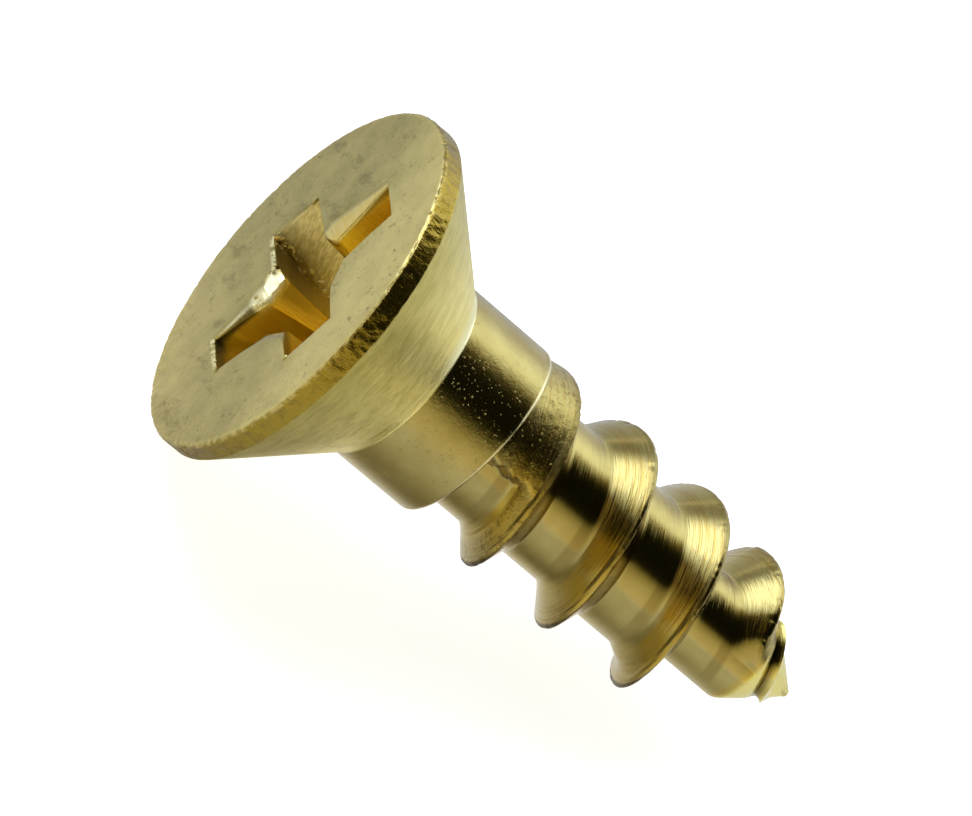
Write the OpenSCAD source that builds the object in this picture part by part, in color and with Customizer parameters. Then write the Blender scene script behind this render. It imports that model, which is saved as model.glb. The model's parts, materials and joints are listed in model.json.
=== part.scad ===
// A short wood screw turned from one brass rod: a countersunk head with a
// cross recess, a plain shank, and a coarse right-hand thread that runs out
// on a blunt point. It lies on the rim of its head and on its last full
// thread crest, with the head face towards +X and the lowest point at Z = 0.
// Inside the modules the screw stands in its own frame: the axis is Z, the
// head face is at Z = 0 and the point is at Z = length.

/* [Overall] */
// Length from the head face to the point
length = 12; // [10:0.5:30]

/* [Head] */
// Diameter of the head
head_d = 6.9; // [6.2:0.1:9]
// Height of the straight land round the head
rim_land = 0.4; // [0.2:0.05:0.8]
// Radius of the edge between the face and the land
rim_edge_r = 0.08; // [0.02:0.01:0.15]
// Full angle of the countersunk cone
cone_angle = 78; // [70:1:92]
// Radius of the fillet between the cone and the shank
neck_fillet_r = 0.1; // [0.1:0.05:0.8]

/* [Shank] */
// Diameter of the plain shank
shank_d = 3.56; // [3.2:0.02:4]
// Length of the plain shank, from the end of the cone to the thread
plain_len = 1.72; // [1:0.05:3]
// Radius of the rounded shoulder at the end of the shank
shoulder_r = 0.12; // [0.05:0.01:0.2]

/* [Thread] */
// Diameter over the thread crests
thread_d = 3.66; // [3.3:0.02:4.2]
// Diameter of the core between the crests
core_d = 2.54; // [2.2:0.02:2.9]
// Distance from one crest to the next
pitch = 1.82; // [1.4:0.01:2.2]
// Length of the flank on the head side of a crest
lead_flank = 0.58; // [0.4:0.02:0.8]
// Length of the steeper flank on the point side of a crest
trail_flank = 0.3; // [0.15:0.01:0.4]
// Width of the land on a crest
crest_land = 0.08; // [0.04:0.01:0.15]
// Distance along the axis from the end of the shank to the first crest
first_crest_gap = 1.1; // [0:0.02:1.8]
// Angle round the axis at which the first groove starts
groove_start = 4; // [-60:1:60]
// How far the uncut metal before that groove lies under the shank's surface
uncut_drop = 0.11; // [0.05:0.01:0.3]

/* [Point] */
// Height of the pointed cone
point_len = 1.15; // [0.8:0.05:2]
// Diameter of the core where the pointed cone starts
point_core_d = 1.78; // [1.4:0.02:2.2]
// Length of the narrower core before the pointed cone
point_core_len = 1.5; // [1:0.05:2.5]
// Length over which the core narrows
core_step_len = 0.48; // [0.3:0.02:1]
// Distance from the point to where the crests start to fall
crest_fall_len = 1.85; // [1.6:0.05:3]
// Angle to the axis at which the crests fall
crest_fall_angle = 56; // [30:0.5:60]
// Height of the last ridge over the pointed cone
last_ridge = 0.06; // [0.03:0.01:0.15]
// Diameter of the blunt end
blunt_d = 0.11; // [0.06:0.01:0.3]

/* [Recess] */
// Distance across two opposite wings at the face
wing_span = 4.05; // [3.6:0.05:4.6]
// Width of a wing
wing_w = 1.05; // [0.8:0.05:1.2]
// Slope of a wing's end from the axis
wing_slope = 26.5; // [15:0.5:30]
// Depth of the recess at its middle
recess_depth = 2.15; // [1.6:0.05:2.4]
// Distance from the middle of the recess to the flats that cut its inner corners, at the face
recess_flat = 1.02; // [0.8:0.02:1.2]
// Slope of those flats from the axis
recess_draft = 6; // [2:0.5:9]
// Distance from the head's axis to the middle of the recess
recess_offset = 0.22; // [0:0.02:0.3]
// Direction of that offset round the axis
recess_offset_dir = -18; // [-180:1:180]
// Turn of the recess round the axis
recess_turn = 20; // [0:1:89]

/* [Rest] */
// Turn of the lying screw round its own axis
roll = -40; // [-180:5:180]

/* [Hidden] */
head_r = head_d / 2;
shank_r = shank_d / 2;
thread_r = thread_d / 2;
core_r = core_d / 2;
uncut_r = shank_r - uncut_drop;
point_core_r = point_core_d / 2;
blunt_r = blunt_d / 2;
cone_half = cone_angle / 2;
cone_end = rim_land + (head_r - shank_r) / tan(cone_half);
shank_end = cone_end + plain_len;
point_z = length - point_len;
narrow_z = point_z - point_core_len - core_step_len;
fall_z = length - crest_fall_len;
recess_wall = recess_depth - 0.3; // how deep the walls run before the floor's cone
recess_over = 0.5; // how far the cut starts above the face

// The thread is swept in columns round the axis, each one profile high.
columns = 36;
bury = 0.45; // how far the thread section reaches into the shank
gap = 0.04; // how far it stays inside the shank's surface there
root_steps = 4;
lead_steps = 5;
trail_steps = 3;
lead_power = 2.1;
trail_power = 1.8;
root_len = pitch - lead_flank - trail_flank - crest_land;
first_crest = shank_end + first_crest_gap;
groove_z = first_crest + pitch * groove_start / 360; // where the crest is beside the first groove's start

// The screw lies on the head's rim and on a crest straight below the axis.
below = 180 + roll;
rest_turn = floor((fall_z - first_crest) / pitch - below / 360);
rest_z = first_crest + pitch * (rest_turn + below / 360);
lie_angle = atan((head_r - thread_r) / (rest_z - rim_land));

// The lying screw is centred over the origin, between its lowest face edge and its point.
face_end_x = (head_r - rim_edge_r) * sin(lie_angle) + rim_edge_r * (1 - cos(lie_angle));
point_end_x = -length * cos(lie_angle) - blunt_r * sin(lie_angle);
face_x = -(face_end_x + point_end_x) / 2;
face_z = head_r * cos(lie_angle) + rim_land * sin(lie_angle);

function arc(centre, r, from, to, steps) = [
    for (k = [0 : steps])
        let (a = from + (to - from) * k / steps)
        centre + r * [cos(a), sin(a)]
];

// Radius of the core, and of a crest, at a height on the axis
function core_at(z) =
    z < narrow_z ? core_r
    : z < narrow_z + core_step_len
        ? core_r + (point_core_r - core_r) * (1 - cos(180 * (z - narrow_z) / core_step_len)) / 2
    : z < point_z ? point_core_r
    : max(blunt_r, point_core_r + (blunt_r - point_core_r) * (z - point_z) / point_len);

function crest_at(z) =
    let (run_in = min(1, max(0, (z - shank_end + shoulder_r) / 0.4)))
    let (full = shank_r - gap + (thread_r - shank_r + gap) * run_in)
    let (falling = thread_r - max(0, z - fall_z) * tan(crest_fall_angle))
    max(min(full, falling), core_at(z) + last_ridge);

// Radius of the metal at the foot of the thread, for a place ahead of a crest
function foot_at(z, crest_z, ahead) =
    ahead < 0 && crest_z < groove_z ? max(core_at(z), uncut_r) : core_at(z);

// Profile of one pitch as pairs: distance from the crest, share of the thread's height
profile = concat(
    [for (k = [0 : root_steps - 1]) [-lead_flank - crest_land / 2 - root_len * (1 - k / root_steps), 0]],
    [for (k = [0 : lead_steps]) [-crest_land / 2 - lead_flank * (1 - k / lead_steps), pow(k / lead_steps, lead_power)]],
    [for (k = [0 : trail_steps - 1]) [crest_land / 2 + trail_flank * k / trail_steps, pow(1 - k / trail_steps, trail_power)]]
);

module revolved_head_and_shank() {
    fillet_centre = [shank_r + neck_fillet_r, cone_end + neck_fillet_r * tan(cone_half / 2)];
    rotate_extrude($fn = 96)
        polygon(concat(
            [[0, 0]],
            arc([head_r - rim_edge_r, rim_edge_r], rim_edge_r, -90, 0, 4),
            [[head_r, rim_land]],
            arc(fillet_centre, neck_fillet_r, 180 + cone_half, 180, 5),
            arc([shank_r - shoulder_r, shank_end - shoulder_r], shoulder_r, 0, 90, 4),
            [[0, shank_end]]
        ));
}

module wing_pair() {
    foot_r = wing_span / 2 - recess_wall * tan(wing_slope);
    top_r = wing_span / 2 + recess_over * tan(wing_slope);
    rotate([90, 0, 0])
        linear_extrude(height = wing_w, center = true)
            polygon([
                [-top_r, -recess_over], [top_r, -recess_over],
                [foot_r, recess_wall], [0, recess_depth], [-foot_r, recess_wall]
            ]);
}

module square_middle() {
    foot_corner = (recess_flat - recess_wall * tan(recess_draft)) / cos(45);
    top_corner = (recess_flat + recess_over * tan(recess_draft)) / cos(45);
    translate([0, 0, -recess_over])
        cylinder(h = recess_over + recess_wall, r1 = top_corner, r2 = foot_corner, $fn = 4);
    translate([0, 0, recess_wall])
        cylinder(h = recess_depth - recess_wall, r1 = foot_corner, r2 = 0, $fn = 4);
}

module cross_recess() {
    rotate([0, 0, recess_offset_dir])
        translate([recess_offset, 0, 0])
            rotate([0, 0, recess_turn - recess_offset_dir]) {
                wing_pair();
                rotate([0, 0, 90])
                    wing_pair();
                square_middle();
            }
}

module helical_thread() {
    steps = len(profile);
    start_z = shank_end - bury - 2 * pitch;
    first = ceil((start_z - first_crest) / pitch * columns);
    last = ceil((length + pitch - first_crest) / pitch * columns);
    count = last - first;
    function corner(i, j) =
        let (
            turn = (first + i) / columns,
            crest_z = first_crest + pitch * turn,
            z = crest_z + profile[j][0],
            foot = foot_at(z, crest_z, profile[j][0]),
            r = foot + (max(crest_at(crest_z), foot) - foot) * profile[j][1]
        )
        [r * cos(360 * turn), r * sin(360 * turn), z];
    function at(i, j) =
        j < steps ? (i <= count ? i * steps + j : (count + 1) * steps + i - count - 1)
        : at(i + columns, 0);
    points = concat(
        [for (i = [0 : count]) for (j = [0 : steps - 1]) corner(i, j)],
        [for (i = [count + 1 : count + columns]) corner(i, 0)],
        [[0, 0, corner(0, 0)[2]], [0, 0, corner(count, 0)[2] + pitch]]
    );
    top = len(points) - 2;
    end = len(points) - 1;
    faces = concat(
        [for (i = [0 : count - 1]) for (j = [0 : steps - 1]) [at(i, j), at(i, j + 1), at(i + 1, j)]],
        [for (i = [0 : count - 1]) for (j = [0 : steps - 1]) [at(i + 1, j), at(i, j + 1), at(i + 1, j + 1)]],
        [for (i = [0 : columns - 1]) [top, at(i, 0), at(i + 1, 0)]],
        [for (j = [0 : steps - 1]) [top, at(0, j + 1), at(0, j)]],
        [for (i = [0 : columns - 1]) [end, at(count + i + 1, 0), at(count + i, 0)]],
        [for (j = [0 : steps - 1]) [end, at(count, j), at(count, j + 1)]]
    );
    polyhedron(points = points, faces = faces, convexity = 6);
}

module threaded_section() {
    intersection() {
        helical_thread();
        translate([0, 0, shank_end - bury])
            cylinder(h = length - shank_end + bury, r = head_r, $fn = 48);
    }
}

module screw() {
    color([0.78, 0.7, 0.42])
        translate([face_x, 0, face_z])
            rotate([0, -90 - lie_angle, 0])
                rotate([0, 0, -roll]) {
                    difference() {
                        revolved_head_and_shank();
                        cross_recess();
                    }
                    threaded_section();
                }
}

screw();
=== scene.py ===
# %% [markdown]
# # A short brass wood screw
#
# The screw is one piece of brass: a rod turned to a countersunk head and a
# plain shank, cut with a coarse thread, and punched with a cross recess. It
# lies on a pale bench, on the rim of its head and on one of its thread crests.
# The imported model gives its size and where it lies. It is modelled here again
# in finer detail, so that the light runs along it as it does on real brass.

import json
import math

import bmesh
import bpy
from mathutils import Matrix, Vector, noise


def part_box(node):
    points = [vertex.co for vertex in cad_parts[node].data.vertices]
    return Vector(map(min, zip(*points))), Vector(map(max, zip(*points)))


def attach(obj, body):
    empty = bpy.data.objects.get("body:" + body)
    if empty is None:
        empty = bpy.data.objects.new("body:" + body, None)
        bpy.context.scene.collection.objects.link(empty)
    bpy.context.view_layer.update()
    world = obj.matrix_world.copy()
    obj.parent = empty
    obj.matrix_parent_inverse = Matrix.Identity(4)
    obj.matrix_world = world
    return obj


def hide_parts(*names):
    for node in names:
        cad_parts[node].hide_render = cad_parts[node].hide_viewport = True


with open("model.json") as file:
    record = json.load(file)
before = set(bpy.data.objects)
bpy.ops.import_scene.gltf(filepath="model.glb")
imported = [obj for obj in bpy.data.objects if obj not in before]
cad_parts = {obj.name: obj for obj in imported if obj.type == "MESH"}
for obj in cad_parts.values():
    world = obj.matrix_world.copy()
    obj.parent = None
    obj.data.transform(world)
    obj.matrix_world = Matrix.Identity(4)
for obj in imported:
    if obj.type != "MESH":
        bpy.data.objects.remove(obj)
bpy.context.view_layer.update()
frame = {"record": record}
mounts = {mount["name"]: mount for mount in frame["record"]["mounts"]}

# %% [markdown]
# ## Where the screw lies
#
# Everything turned or threaded is simplest to model upright, in millimetres,
# round the Z axis: the head's face at Z = 0 and the point at Z = 12. One matrix
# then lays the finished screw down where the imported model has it. The shank's
# axis and the face come from the model's mounts. Only the turn about the axis
# is written here, because nothing round can tell it.

# %% From the screw's own upright frame to the bench
MM = 0.001
ROLL = -40

to_point = Vector(mounts["shank"]["axis"]).normalized()
on_axis = Vector(mounts["shank"]["pos_m"])
on_face = Vector(mounts["head_face"]["pos_m"])
face_centre = on_axis + to_point * (on_face - on_axis).dot(to_point)
uphill = Vector((0, 0, 1))
uphill = (uphill - to_point * uphill.dot(to_point)).normalized()
sideways = to_point.cross(uphill)


def outward(degrees):
    """Direction square to the axis, at that angle round it."""
    angle = math.radians(degrees - ROLL)
    return uphill * math.cos(angle) + sideways * math.sin(angle)


screw_axes = Matrix((outward(0), outward(90), to_point)).transposed().to_4x4()
lay_down = Matrix.Translation(face_centre) @ screw_axes @ Matrix.Scale(MM, 4)
print("face centre:", face_centre, "axis towards the point:", to_point)

# %% [markdown]
# ## The camera
#
# A long lens from far off keeps the head and the point to nearly one scale. The
# view is given by two angles: how far the face is turned away from the lens,
# and how steeply the axis runs down across the picture.

# %% Camera
# Aim in the screw's own millimetres, and distance and lens in millimetres.
FACE_TURNED = math.radians(65.92)
AXIS_SLOPE = math.radians(40.40)
AIM = Vector((0, -0.397, 4.165))
DISTANCE = 102.64
LENS = 226.8

rightward = (
    outward(0) * math.cos(FACE_TURNED) * math.cos(AXIS_SLOPE)
    - outward(90) * math.sin(AXIS_SLOPE)
    + to_point * math.sin(FACE_TURNED) * math.cos(AXIS_SLOPE)
)
looking = to_point * math.cos(FACE_TURNED) - outward(0) * math.sin(FACE_TURNED)
upward = rightward.cross(looking)

camera_data = bpy.data.cameras.new("camera")
camera_data.lens = LENS
camera_data.clip_start = 0.01
camera_data.clip_end = 10
camera = bpy.data.objects.new("camera", camera_data)
camera_turn = Matrix((rightward, upward, -looking)).transposed().to_4x4()
camera_place = lay_down @ AIM - looking * DISTANCE * MM
camera.matrix_world = Matrix.Translation(camera_place) @ camera_turn
bpy.context.scene.collection.objects.link(camera)
bpy.context.scene.camera = camera
print("camera at:", camera_place)

# %% [markdown]
# ## The turned blank
#
# Head and shank come off a lathe, so they are one outline turned round the
# axis. A stack of cylinders and cones would need its edges rounded afterwards.
# A spun outline has the rounded rim, the cone, its small fillet and the
# shank's rounded end from the start, and even rows of faces to shape later.

# %% Outline of head and shank
LENGTH = 12.0
HEAD_R = (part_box("screw")[1][1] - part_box("screw")[0][1]) / 2 / MM
SHANK_R = mounts["shank"]["dims"]["r_mm"]
RIM_LAND = 0.4
RIM_EDGE_R = 0.08
LAND_EDGE_R = 0.05
CONE_HALF = 39
NECK_FILLET_R = 0.1
PLAIN_LEN = 1.72
SHOULDER_R = 0.14
# The flat face is laid in fewer rows up to this radius than outside it.
FACE_MIDDLE = (0.8, 0)
CONE_END = RIM_LAND + (HEAD_R - SHANK_R) / math.tan(math.radians(CONE_HALF))
SHANK_END = CONE_END + PLAIN_LEN
AROUND = 384


def straight(start, end, steps):
    """Points from start up to, but not including, end."""
    return [
        (
            start[0] + (end[0] - start[0]) * i / steps,
            start[1] + (end[1] - start[1]) * i / steps,
        )
        for i in range(steps)
    ]


def rounded(centre, radius, start, end, steps):
    """Points along an arc, from one angle in degrees to another."""
    angles = [math.radians(start + (end - start) * i / steps) for i in range(steps + 1)]
    return [
        (centre[0] + radius * math.cos(angle), centre[1] + radius * math.sin(angle))
        for angle in angles
    ]


fillet_centre = (
    SHANK_R + NECK_FILLET_R,
    CONE_END + NECK_FILLET_R * math.tan(math.radians(CONE_HALF / 2)),
)
face_edge = rounded((HEAD_R - RIM_EDGE_R, RIM_EDGE_R), RIM_EDGE_R, -90, 0, 5)
land_edge_z = RIM_LAND - LAND_EDGE_R * math.tan(math.radians(CONE_HALF / 2))
land_edge = rounded((HEAD_R - LAND_EDGE_R, land_edge_z), LAND_EDGE_R, 0, CONE_HALF, 3)
fillet = rounded(fillet_centre, NECK_FILLET_R, 180 + CONE_HALF, 180, 4)
shoulder = rounded((SHANK_R - SHOULDER_R, SHANK_END - SHOULDER_R), SHOULDER_R, 0, 90, 5)
outline = (
    straight((0, 0), FACE_MIDDLE, 2)
    + straight(FACE_MIDDLE, face_edge[0], 18)
    + face_edge
    + straight(face_edge[-1], land_edge[0], 8)[1:]
    + land_edge
    + straight(land_edge[-1], fillet[0], 12)[1:]
    + fillet
    + straight(fillet[-1], shoulder[0], 10)[1:]
    + shoulder
    + [(0, SHANK_END)]
)
print("outline of", len(outline), "points, shank ends at", round(SHANK_END, 3))


# %% Helpers for lines and objects
def chain(bm, points):
    """Joins (radius, height) points into a line of edges in the XZ plane."""
    verts = [bm.verts.new((radius, 0, height)) for radius, height in points]
    edges = [bm.edges.new(pair) for pair in zip(verts, verts[1:])]
    return verts, edges


def as_object(bm, name):
    """Turns a bmesh into a linked object and frees the bmesh."""
    mesh = bpy.data.meshes.new(name)
    bm.to_mesh(mesh)
    bm.free()
    made = bpy.data.objects.new(name, mesh)
    bpy.context.scene.collection.objects.link(made)
    return made


def ripple(x, y, z):
    """Smooth noise between -1 and 1, the same every time."""
    return noise.noise(Vector((x, y, z)))


print("noise at one point, the same every time:", round(ripple(0.3, 0.7, 0.1), 4))

# %% Wear on the blank
DENT_DEPTH = 0.01
DENTS_PER_MM = 1.7
CHATTER_DEPTH = 0.026
# Chatter marks reach this far in from the rim over the face.
CHATTER_REACH = 0.4
# The shank's end isn't square to the axis: its mean shift, its lean, and which way.
SHOULDER_PAST = 0.18
SHOULDER_LEAN = 0.265
SHOULDER_LEAN_AT = 22


def shoulder_shift(angle):
    """How far the shank's end lies past its plain place, at an angle in radians."""
    return SHOULDER_PAST - SHOULDER_LEAN * math.cos(angle - math.radians(SHOULDER_LEAN_AT))


def chatter(angle, z):
    """How deep the rim is marked, from 0: slanted marks and finer teeth."""
    slanted = ripple((z * 2 + angle * 16) * 2, z * 3, angle * 2)
    teeth = ripple(angle * 60, z * 9, 4)
    return max(0, slanted + teeth / 2)


def worn(place):
    """The place after wear: a rim with chatter marks and a slightly dented face."""
    spread = math.hypot(place.x, place.y)
    angle = math.atan2(place.y, place.x)
    moved = place.copy()
    if spread > HEAD_R - CHATTER_REACH and place.z < RIM_LAND:
        moved.xy *= 1 - CHATTER_DEPTH * chatter(angle, place.z) / HEAD_R
        moved.z += CHATTER_DEPTH * max(0, ripple(angle * 42, 7, spread * 3))
    if place.z > SHANK_END - PLAIN_LEN / 2 and spread > 0.1:
        share = (place.z - SHANK_END + PLAIN_LEN / 2) / (PLAIN_LEN / 2)
        moved.z += shoulder_shift(angle) * share
    if place.z < 0.01:
        moved.z += DENT_DEPTH * max(0, ripple(place.x * DENTS_PER_MM, place.y * DENTS_PER_MM, 2))
    return moved


print("shank's end lies past its plain place by", round(shoulder_shift(0), 3), "at angle 0")

# %% Spin the outline
AXIS = {"cent": (0, 0, 0), "axis": (0, 0, 1)}
blank = bmesh.new()
verts, edges = chain(blank, outline)
bmesh.ops.spin(
    blank, geom=verts + edges, **AXIS, angle=math.tau, steps=AROUND, use_merge=True
)
bmesh.ops.remove_doubles(blank, verts=blank.verts, dist=1e-5)
bmesh.ops.recalc_face_normals(blank, faces=blank.faces)
for vert in blank.verts:
    vert.co = worn(vert.co)
screw = as_object(blank, "brass_screw")
print("blank:", len(screw.data.polygons), "faces")

# %% [markdown]
# ## The thread
#
# The thread is cut with a long hollow flank towards the head and a short steep
# one towards the point. It could be a ridge laid on a plain core, but ridge and
# core would then meet in a ragged seam. Here one whole pitch of surface, from
# valley to crest to valley, is spun along a helix, so that each turn's last row
# of points is the next turn's first. The spun points remember two things: how
# far they stand along the axis from their crest, and their share of the
# thread's height. With these, every point is moved to its real radius, which
# makes the run-in under the shank and the fading turns at the point. The cutter
# entered abruptly: before the first groove the metal stands uncut and rough, and
# that groove is a little shallower than the next. Points before the groove are
# lifted to the uncut radius, so its start is a step of real metal.

# %% Sizes of the thread
THREAD_R = 1.84
THREAD_END_R = 1.79
CORE_R = 1.27
PITCH = 1.815
LEAD_FLANK = 0.57
TRAIL_FLANK = 0.31
CREST_LAND = 0.1
LEAD_ROOT = 0.18
TRAIL_ROOT = 0.25
CREST_DROP = 0.03
FIRST_CREST = SHANK_END + 1.095
BURIED = 0.3
INSIDE = 0.04

# The run-in starts this far past the shank's end and takes this long.
RUN_IN_AFTER = 0.2
RUN_IN_LEN = 1.0
# Heights between which the crest draws in to its radius at the point.
DRAWN_IN = (7.5, 9.3)

POINT_CORE_R = 0.89
POINT_BULGE = 1.1
POINT_START = LENGTH - 1.16
NARROW_START = POINT_START - 2.0
NARROW_LEN = 0.48
FALL_START = LENGTH - 1.86
FALL_ANGLE = 56
BLUNT_R = 0.055
# A last fine ridge winds once over the point, behind a shallow groove.
POINT_RIDGE_AT = 0.57
POINT_RIDGE_HIGH = 0.12
POINT_RIDGE_WIDE = 0.06
POINT_GROOVE_BEFORE = 0.16
POINT_GROOVE_DEEP = 0.05
POINT_GROOVE_WIDE = 0.09
TURNS_TO_POINT = 3
# Rows over the valley, the long flank, the crest's land and the short flank, and
# columns round each turn.
VALLEY_ROWS = 12
LEAD_ROWS = 12
LAND_ROWS = 5
TRAIL_ROWS = 7
COLUMNS = 300
# The crest runs a little nearer the head on one side of every turn.
WANDER = 0.155
WANDER_AT = 10
# The first groove starts abruptly, in turns from the first crest, over a ragged
# step. Before it the metal is uncut and rough.
GROOVE_START = 0.012
GROOVE_STEP = 0.02
GROOVE_RAGGED = 0.01
UNCUT_R = 1.67
UNCUT_ROUGH = 0.010
# The first groove is shallower, and reaches full depth between these turns.
FIRST_GROOVE_SHALLOW = 0.08
GROOVE_DEEPENS = (0.2, 0.7)
# Nicks along the crest, deepest on the first turn.
NICK_DEPTH = 0.03
FIRST_TURN_NICKS = 0.03
# A crest this high over the core counts as a full one.
FULL_CREST = 0.25


def blend(edge_low, edge_high, value):
    """A smooth step from 0 to 1 between two edges."""
    t = min(1, max(0, (value - edge_low) / (edge_high - edge_low)))
    return t * t * (3 - 2 * t)


def core_radius(z):
    """Radius of the core: it narrows behind the point, then runs out in a cone."""
    narrowed = CORE_R + (POINT_CORE_R - CORE_R) * blend(0, NARROW_LEN, z - NARROW_START)
    cone = max(0, (z - POINT_START) / (LENGTH - POINT_START)) ** POINT_BULGE
    return max(BLUNT_R, narrowed + (BLUNT_R - narrowed) * cone)


def crest_radius(z):
    """Radius of the crest: it rises after the shank and falls before the point."""
    run_in = min(1, max(0, (z - SHANK_END - RUN_IN_AFTER) / RUN_IN_LEN))
    full = THREAD_R + (THREAD_END_R - THREAD_R) * blend(*DRAWN_IN, z)
    low = SHANK_R - INSIDE * 2
    falling = full - max(0, z - FALL_START) * math.tan(math.radians(FALL_ANGLE))
    return min(low + (full - low) * run_in, falling)


def point_ridge(z, from_last_crest):
    """Height of the fine ridge on the point, less the groove before it."""
    away = from_last_crest - POINT_RIDGE_AT
    ridge = POINT_RIDGE_HIGH * math.exp(-((away / POINT_RIDGE_WIDE) ** 2))
    before = away + POINT_GROOVE_BEFORE
    groove = POINT_GROOVE_DEEP * math.exp(-((before / POINT_GROOVE_WIDE) ** 2))
    return (ridge - groove) * blend(0, 0.12, z - POINT_START) * blend(0, 0.2, LENGTH - 0.05 - z)


print("core radius half way:", core_radius(LENGTH / 2), "crest radius:", crest_radius(LENGTH / 2))


# %% One pitch of the thread's surface
def flank_rise(along, root):
    """Height over a flank from 0 to 1: a hollow root that runs out straight."""
    return (math.hypot(along, root) - root) / (math.hypot(1, root) - root)


def thread_pitch():
    """(distance from the crest's middle, share of the height) over one pitch."""
    half = CREST_LAND / 2
    valley = PITCH - LEAD_FLANK - TRAIL_FLANK - CREST_LAND
    top = 1 - CREST_DROP
    rows = []
    for i in range(VALLEY_ROWS):
        rows.append((-LEAD_FLANK - half - valley * (1 - i / VALLEY_ROWS), 0))
    for i in range(LEAD_ROWS):
        share = i / LEAD_ROWS
        rows.append((-half - LEAD_FLANK * (1 - share), top * flank_rise(share, LEAD_ROOT)))
    for i in range(LAND_ROWS + 1):
        worn_off = CREST_DROP * abs(i / (LAND_ROWS / 2) - 1) ** 3
        rows.append((-half + CREST_LAND * i / LAND_ROWS, 1 - worn_off))
    for i in range(1, TRAIL_ROWS + 1):
        share = i / TRAIL_ROWS
        rows.append((half + TRAIL_FLANK * i / TRAIL_ROWS, top * flank_rise(1 - share, TRAIL_ROOT)))
    return rows


rows = thread_pitch()
print("one pitch:", len(rows), "rows, from", round(rows[0][0], 3), "to", round(rows[-1][0], 3))


# %% Spin one turn and stack the rest
first_turn = math.floor((SHANK_END - BURIED - FIRST_CREST) / PITCH) - 1
last_turn = math.ceil((LENGTH - FIRST_CREST) / PITCH) + 1
thread = bmesh.new()
from_crest = thread.verts.layers.float.new("from_crest")
height_share = thread.verts.layers.float.new("height_share")
first_crest_z = FIRST_CREST + first_turn * PITCH
verts, edges = chain(thread, [(1, first_crest_z + offset) for offset, share in rows])
for vert, (offset, share) in zip(verts, rows):
    vert[from_crest] = offset
    vert[height_share] = share
bmesh.ops.spin(
    thread,
    geom=verts + edges,
    **AXIS,
    dvec=(0, 0, PITCH / COLUMNS),
    angle=math.tau,
    steps=COLUMNS,
)
one_turn = thread.verts[:] + thread.edges[:] + thread.faces[:]
for turn in range(1, last_turn - first_turn):
    copy = bmesh.ops.duplicate(thread, geom=one_turn)["geom"]
    copied = [item for item in copy if isinstance(item, bmesh.types.BMVert)]
    bmesh.ops.translate(thread, verts=copied, vec=(0, 0, PITCH * turn))
bmesh.ops.remove_doubles(thread, verts=thread.verts, dist=1e-4)
print("thread:", last_turn - first_turn, "turns,", len(thread.faces), "faces")


# %% Move every point to its real radius


def turns_from_first(crest_z):
    """How many turns a crest's height lies past the first crest."""
    return (crest_z - FIRST_CREST) / PITCH


def nick(crest_z, offset):
    """How deep the crest is nicked at one point of the helix."""
    along = turns_from_first(crest_z) * math.tau * THREAD_R
    depth = NICK_DEPTH + FIRST_TURN_NICKS * blend(1.0, 0.2, along / math.tau / THREAD_R)
    rough = ripple(along * 4, offset * 6, 1) + 0.6 * ripple(along * 11, offset * 9, 5) - 0.12
    return depth * max(0, rough)


for vert in thread.verts:
    core = core_radius(vert.co.z)
    offset = vert[from_crest]
    if offset > CREST_LAND / 2 + TRAIL_FLANK - 1e-4:
        offset -= PITCH
    crest_z = vert.co.z - offset
    uncut = 0
    if offset < 0:
        along = turns_from_first(crest_z) + GROOVE_RAGGED * ripple(vert.co.z * 6, 0, 3)
        uncut = blend(GROOVE_START + GROOVE_STEP, GROOVE_START, along)
        core += FIRST_GROOVE_SHALLOW * blend(*reversed(GROOVE_DEEPENS), along)
        core += (UNCUT_R - core) * uncut
    crest = crest_radius(crest_z)
    radius = core + (max(crest, core) - core) * vert[height_share]
    around = math.atan2(vert.co.y, vert.co.x) / math.tau
    last_crest = FIRST_CREST + PITCH * (TURNS_TO_POINT + around)
    radius += point_ridge(vert.co.z, vert.co.z - last_crest)
    lift = blend(0, FULL_CREST, crest - core) * vert[height_share]
    radius -= nick(crest_z, offset) * blend(0.8, 1, lift)
    dents = ripple(*(vert.co.normalized() * 9)) + ripple(*(vert.co * 9)) / 2
    radius += UNCUT_ROUGH * dents * uncut
    facing = math.cos(around * math.tau - math.radians(WANDER_AT))
    vert.co.z -= WANDER * max(0, facing) ** 2 * lift
    vert.co.xy = vert.co.xy.normalized() * radius
print("thread shaped, widest radius", round(max(vert.co.xy.length for vert in thread.verts), 3))


# %% Cut the thread to length and close its ends
def cut_and_close(bm, height, keep_above):
    """Cuts the bmesh at a height and fills the cut."""
    normal = (0, 0, -1) if keep_above else (0, 0, 1)
    geom = bm.verts[:] + bm.edges[:] + bm.faces[:]
    cut = bmesh.ops.bisect_plane(
        bm, geom=geom, dist=1e-6, plane_co=(0, 0, height), plane_no=normal, clear_outer=True
    )
    rim = [item for item in cut["geom_cut"] if isinstance(item, bmesh.types.BMEdge)]
    bmesh.ops.edgenet_fill(bm, edges=rim)


cut_and_close(thread, SHANK_END - BURIED, True)
cut_and_close(thread, LENGTH - 0.01, False)
bmesh.ops.recalc_face_normals(thread, faces=thread.faces)
open_edges = [edge for edge in thread.edges if not edge.is_manifold]
print("thread cut to length, open edges:", len(open_edges))
thread_part = as_object(thread, "thread")


# %% Join thread and blank
def combine(body, tool, operation):
    """Joins the tool to the body, or cuts the body with it, and drops the tool."""
    modifier = body.modifiers.new(operation, "BOOLEAN")
    modifier.object = tool
    modifier.operation = operation
    modifier.solver = "MANIFOLD"
    depsgraph = bpy.context.evaluated_depsgraph_get()
    combined = bpy.data.meshes.new_from_object(body.evaluated_get(depsgraph))
    body.modifiers.remove(modifier)
    body.data = combined
    bpy.data.objects.remove(tool)
    print(operation.lower(), "gives", len(combined.polygons), "faces")


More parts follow.
